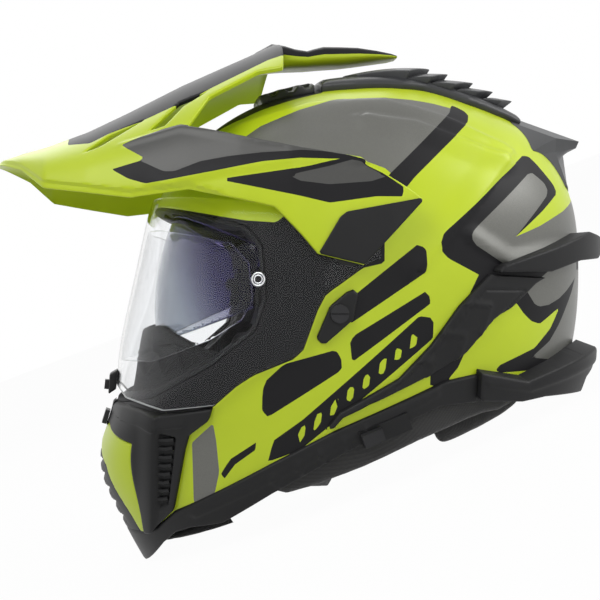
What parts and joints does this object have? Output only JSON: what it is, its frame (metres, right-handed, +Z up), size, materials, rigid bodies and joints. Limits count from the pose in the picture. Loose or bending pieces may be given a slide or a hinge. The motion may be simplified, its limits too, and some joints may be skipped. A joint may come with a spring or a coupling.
{
  "type": "dual sport helmet",
  "caption": "Full face dual sport helmet with a peak, hinged clear visor, drop-down sun shield, sliding vents, padded lining and buckled chin strap.",
  "frame": {"origin": "Centre of the bounding box's underside, on the plane that the lower edge stands on.", "axes": "+Y to the back of the helmet, along its longest extent. +X to the wearer's left, along its shortest extent. +Z up."},
  "size_m": [0.2644, 0.38, 0.2874],
  "materials": {
    "shell_paint": "gloss",
    "foam": "matte",
    "lining": "knitted",
    "lining_skin": "brushed",
    "black_mouldings": "satin",
    "gasket_rubber": "matte",
    "yellow_mouldings": "gloss",
    "peak_paint": "gloss",
    "clear_visor": "clear",
    "tinted_shield": "clear",
    "grey_fittings": "satin",
    "lens_pins": "clear",
    "strap_webbing": "woven",
    "buckle_steel": "brushed",
    "tongue_plastic": "satin"
  },
  "bodies": {
    "helmet": {"outer_shell": "shell_paint", "impact_liner": "foam", "chin_impact_liner": "foam", "crown_pad": "lining", "cheek_pad_left": "lining", "cheek_pad_right": "lining", "neck_roll": "lining_skin", "chin_curtain": "lining_skin", "base_trim": "black_mouldings", "rear_skirt": "black_mouldings", "rear_fin": "black_mouldings", "side_strip_left": "black_mouldings", "side_strip_right": "black_mouldings", "side_plug_left": "grey_fittings", "side_plug_right": "grey_fittings", "side_plug_screws": "grey_fittings", "eye_port_gasket": "gasket_rubber", "breath_guard": "gasket_rubber", "chin_vent_housing": "black_mouldings", "chin_strip_left": "yellow_mouldings", "chin_strip_right": "yellow_mouldings", "chin_vent_grille": "black_mouldings", "brow_vent": "black_mouldings", "crown_fairing": "black_mouldings", "crown_louvres": "grey_fittings", "rear_spoiler": "black_mouldings", "rear_exhaust_grille": "grey_fittings", "visor_pivot_base_left": "grey_fittings", "visor_pivot_base_right": "grey_fittings", "visor_pivot_cap_left": "grey_fittings", "visor_pivot_cap_right": "grey_fittings", "sun_shield_brackets": "grey_fittings", "sun_shield_lever_track": "black_mouldings", "chin_strap_left": "strap_webbing", "chin_strap_right": "strap_webbing", "strap_anchors": "buckle_steel", "buckle_body": "buckle_steel", "buckle_tongue": "tongue_plastic"},
    "visor_body": {"visor": "clear_visor", "fog_free_lens": "clear_visor", "fog_free_lens_pins": "lens_pins", "visor_latch": "black_mouldings"},
    "latch_button_body": {"visor_latch_button": "grey_fittings"},
    "peak_body": {"peak": "peak_paint", "peak_screws": "grey_fittings", "peak_side_panel_left": "black_mouldings", "peak_side_panel_right": "black_mouldings"},
    "sun_shield_body": {"sun_shield": "tinted_shield", "sun_shield_arms": "grey_fittings"},
    "shield_lever_body": {"sun_shield_lever": "grey_fittings"},
    "chin_slider_body": {"chin_vent_slider": "grey_fittings"},
    "crown_slider_body": {"crown_vent_slider": "grey_fittings"},
    "buckle_lever_body": {"buckle_lever": "buckle_steel"}
  },
  "joints": [
    {"name": "visor_hinge", "type": "hinge", "parent": "helmet", "child": "visor_body", "pos_m": [0, -0.00085, 0.14659], "axis": [-1, 0, 0], "range_deg": [0, 48]},
    {"name": "visor_latch_press", "type": "slide", "parent": "visor_body", "child": "latch_button_body", "axis": [0, 0.8922, -0.4517], "range_m": [0, 0.0015], "stiffness_N_per_m": 300},
    {"name": "peak_tilt", "type": "hinge", "parent": "helmet", "child": "peak_body", "pos_m": [0, -0.00085, 0.14659], "axis": [-1, 0, 0], "range_deg": [0, 5]},
    {"name": "sun_shield_hinge", "type": "hinge", "parent": "helmet", "child": "sun_shield_body", "pos_m": [0, 0.01828, 0.0986], "axis": [-1, 0, 0], "range_deg": [0, 44]},
    {"name": "sun_shield_lever_slide", "type": "slide", "parent": "helmet", "child": "shield_lever_body", "axis": [-0.0195, 0.9998, 0.0048], "range_m": [0, 0.018]},
    {"name": "chin_vent_slide", "type": "slide", "parent": "helmet", "child": "chin_slider_body", "axis": [0, 0.6204, 0.7843], "range_m": [0, 0.006]},
    {"name": "crown_vent_slide", "type": "slide", "parent": "helmet", "child": "crown_slider_body", "axis": [0, 0.7542, -0.6567], "range_m": [0, 0.008]},
    {"name": "buckle_lever_hinge", "type": "hinge", "parent": "helmet", "child": "buckle_lever_body", "pos_m": [-0.0105, -0.06739, 0.01449], "axis": [0, -0.9341, 0.3569], "range_deg": [0, 30], "stiffness_Nm_per_rad": 0.05}
  ],
  "couplings": [
    {"joint": "sun_shield_lever_slide", "follows": "sun_shield_hinge", "m_per_rad": 0.0234}
  ]
}
